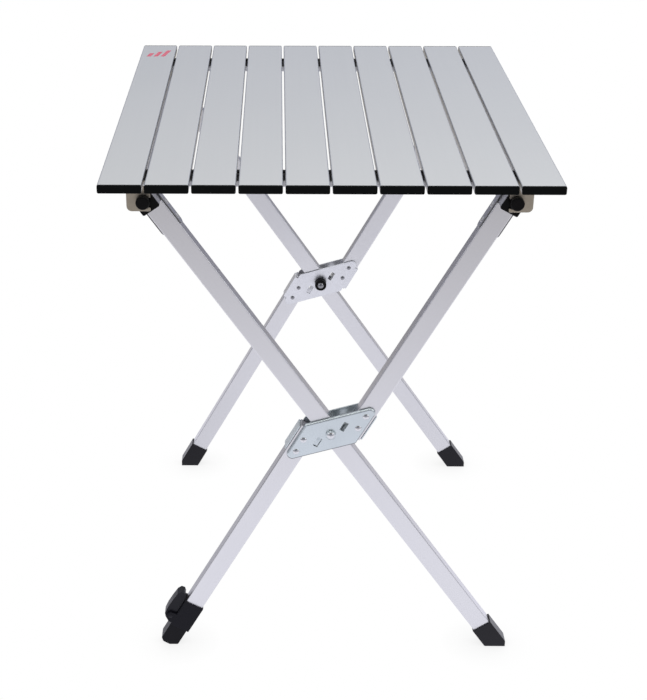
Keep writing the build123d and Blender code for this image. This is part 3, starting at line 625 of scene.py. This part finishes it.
def floor_tone(t):
    """Colour of the floor as the metal sees it, its light and shadow painted in."""
    place = t.place()
    tone = t.blend(t.noise(place, FLOOR_MOTTLE_SCALE, detail=3.0), *FLOOR_NEAR)
    tone = t.blend(t.remap(distance_from(t, place, LIT_SPOT), *LIT_FADE), tone, FLOOR_FAR)
    for middle, fade, depth in SHADOWS:
        share = t.remap(distance_from(t, place, middle), *fade, depth, 0.0)
        tone = t.blend(share, tone, SHADOW_COLOUR)
    return tone


def floor_material():
    """Clear to the camera apart from a painted contact shade; to the metal, a glowing floor with
    painted light and shadow.
    """
    material, t = new_material("pale_floor")
    lit = t.add("Emission", {"Color": floor_tone(t), "Strength": FLOOR_GLOW})
    openness = t.add("AmbientOcclusion", {"Distance": CONTACT_REACH}, output="AO",
                     samples=CONTACT_SAMPLES)
    shade = t.remap(openness, *CONTACT_RANGE, *CONTACT_SHADE)
    clear = t.add("BsdfTransparent", {"Color": t.add("CombineColor", {0: shade, 1: shade, 2: shade})})
    seen = t.add("LightPath", output="Is Camera Ray")
    t.add("OutputMaterial", {"Surface": t.add("MixShader", {0: seen, 1: lit, 2: clear})})
    material.cycles.emission_sampling = "NONE"
    return material


def set_floor():
    mesh = bpy.data.meshes.new("floor")
    corners = [(-FLOOR_HALF, -FLOOR_HALF, 0), (FLOOR_HALF, -FLOOR_HALF, 0),
               (FLOOR_HALF, FLOOR_HALF, 0), (-FLOOR_HALF, FLOOR_HALF, 0)]
    mesh.from_pydata(corners, [], [(0, 1, 2, 3)])
    mesh.materials.append(floor_material())
    floor = bpy.data.objects.new("floor", mesh)
    bpy.context.scene.collection.objects.link(floor)
    floor.location.z = -FLOOR_DROP


def add_light(name, place, target, size, power, colour=(1, 1, 1)):
    data = bpy.data.lights.new(name, "AREA")
    data.shape = "RECTANGLE"
    data.size, data.size_y = size
    data.energy = power
    data.color = colour
    light = bpy.data.objects.new(name, data)
    bpy.context.scene.collection.objects.link(light)
    light.location = place
    aim = Vector(target) - Vector(place)
    light.rotation_euler = aim.to_track_quat("-Z", "Y").to_euler()
    return light


def spare_slats(light):
    """Keeps a light off the slats, so that their tops don't burn out when seen from above."""
    spared = bpy.data.collections.new("spared_slats")
    for name in slat_names():
        spared.objects.link(NODES[name])
    for item in spared.collection_objects:
        item.light_linking.link_state = "EXCLUDE"
    light.light_linking.receiver_collection = spared


def set_lights():
    middle = (0, 0, 0.35)
    top = add_light("softbox_top", (-0.2, -0.3, 2.3), (0, -0.1, 0.3), (1.6, 1.6), power=22.0)
    spare_slats(top)
    add_light("softbox_left", (-1.9, -1.6, 1.5), middle, (1.2, 1.6), power=7.2,
              colour=(0.96, 0.97, 1.0))
    add_light("softbox_right", (1.9, -1.5, 1.3), middle, (1.2, 1.6), power=7.8,
              colour=(1.0, 0.985, 0.97))


CAMERA_PLACE = (-0.0624, -1.7712, 1.2344)
CAMERA_PITCH, CAMERA_YAW, CAMERA_ROLL = radians(26.646), radians(0.387), radians(0.048)
CAMERA_LENS, CAMERA_SENSOR = 70.68, 36.0
CAMERA_SHIFT = (0.0803, -0.0087)


def camera_turn():
    """Rotation of the camera, from its pitch below the horizon, its yaw and its roll."""
    forward = Vector((-cos(CAMERA_PITCH) * sin(CAMERA_YAW), cos(CAMERA_PITCH) * cos(CAMERA_YAW),
                      -sin(CAMERA_PITCH)))
    right = Vector((cos(CAMERA_YAW), sin(CAMERA_YAW), 0))
    up = right.cross(forward)
    tilted_right = cos(CAMERA_ROLL) * right + sin(CAMERA_ROLL) * up
    tilted_up = cos(CAMERA_ROLL) * up - sin(CAMERA_ROLL) * right
    return Matrix((tilted_right, tilted_up, -forward)).transposed().to_4x4()


def set_camera():
    """Standing in front of the table, above its top."""
    data = bpy.data.cameras.new("camera")
    data.sensor_width = CAMERA_SENSOR
    data.lens = CAMERA_LENS
    data.shift_x, data.shift_y = CAMERA_SHIFT
    camera = bpy.data.objects.new("camera", data)
    bpy.context.scene.collection.objects.link(camera)
    camera.matrix_world = Matrix.Translation(CAMERA_PLACE) @ camera_turn()
    bpy.context.scene.camera = camera
    bpy.context.scene.view_settings.view_transform = "Standard"


dress()
add_cords(woven("black_cord", (0.012, 0.012, 0.014)))
add_mark(painted("red_ink", (0.46, 0.05, 0.10)))
set_world()
set_floor()
set_lights()
set_camera()
